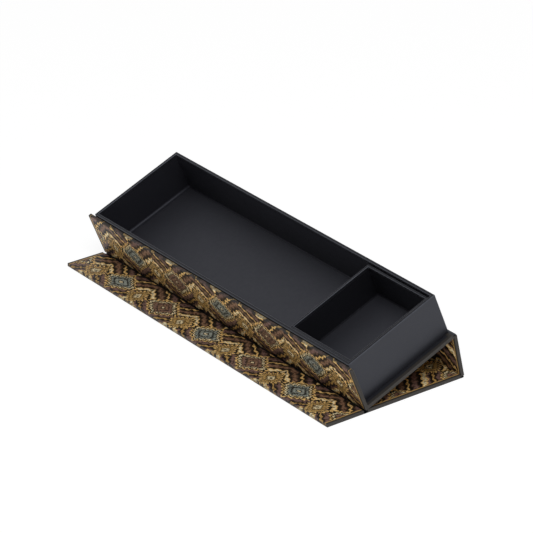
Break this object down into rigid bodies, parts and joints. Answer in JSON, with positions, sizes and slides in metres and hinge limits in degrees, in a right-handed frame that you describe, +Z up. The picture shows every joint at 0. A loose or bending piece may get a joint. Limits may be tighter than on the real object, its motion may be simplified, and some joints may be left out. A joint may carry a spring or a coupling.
{
  "type": "hard pencil case",
  "caption": "Hard pencil case of paper-covered board: a shallow tray with a loose inner box, and a hinged cover with a closing flap, folded back as a stand.",
  "frame": {"origin": "under the middle of the case, on the surface it stands on, with the cover folded back as a stand", "axes": "+X along the case towards the inner box's end, +Y away from the closing flap, +Z up"},
  "size_m": [0.22, 0.0848, 0.0485],
  "materials": {
    "printed_paper": "matte printed paper, gold and ochre on near black, with a black margin",
    "wrap_paper": "black covering paper, fine grain, low sheen",
    "lining_paper": "black lining paper, fine grain, matte",
    "liner_paper": "black liner sheet, matte",
    "hinge_paper": "black hinge strip, matte",
    "cover_board": "grey binder's board",
    "tray_board": "grey binder's board",
    "floor_card": "black card with a lighter cut edge",
    "magnet": "nickel plate"
  },
  "bodies": {
    "tray": {"base_and_front_cover_paper": "printed_paper", "base_and_front_liner": "liner_paper", "base_board": "cover_board", "front_panel_board": "cover_board", "front_panel_left_magnet": "magnet", "front_panel_right_magnet": "magnet", "spine_hinge_crease": "hinge_paper", "tray_back_wall_board": "tray_board", "tray_floor_board": "tray_board", "tray_floor_card": "floor_card", "tray_front_wall_board": "tray_board", "tray_left_wall_board": "tray_board", "tray_lining": "lining_paper", "tray_outer_wrap": "wrap_paper", "tray_right_wall_board": "tray_board"},
    "inner_box": {"inner_box_back_wall_board": "tray_board", "inner_box_floor_board": "tray_board", "inner_box_floor_card": "floor_card", "inner_box_front_wall_board": "tray_board", "inner_box_left_wall_board": "tray_board", "inner_box_lining": "lining_paper", "inner_box_outer_wrap": "wrap_paper", "inner_box_right_wall_board": "tray_board"},
    "spine": {"lid_hinge_crease": "hinge_paper", "spine_board": "cover_board", "spine_cover_paper": "printed_paper", "spine_hinge_tail": "hinge_paper", "spine_liner": "liner_paper"},
    "lid": {"flap_hinge_crease": "hinge_paper", "lid_board": "cover_board", "lid_cover_paper": "printed_paper", "lid_hinge_tail": "hinge_paper", "lid_liner": "liner_paper"},
    "flap": {"flap_board": "cover_board", "flap_cover_paper": "printed_paper", "flap_hinge_tail": "hinge_paper", "flap_left_magnet": "magnet", "flap_liner": "liner_paper", "flap_right_magnet": "magnet"}
  },
  "joints": [
    {"name": "spine_hinge", "type": "hinge", "parent": "tray", "child": "spine", "pos_m": [0, 0.03621, 0.02575], "axis": [1, 0, 0], "range_deg": [0, 189.37]},
    {"name": "lid_hinge", "type": "hinge", "parent": "spine", "child": "lid", "pos_m": [0, 0.04198, 0.0004], "axis": [1, 0, 0], "range_deg": [0, 192.82]},
    {"name": "flap_hinge", "type": "hinge", "parent": "lid", "child": "flap", "pos_m": [0, -0.01889, 0.0004], "axis": [1, 0, 0], "range_deg": [0, 90]},
    {"name": "inner_box_slide", "type": "slide", "parent": "tray", "child": "inner_box", "axis": [1, 0, 0], "range_m": [-0.161, 0]}
  ]
}
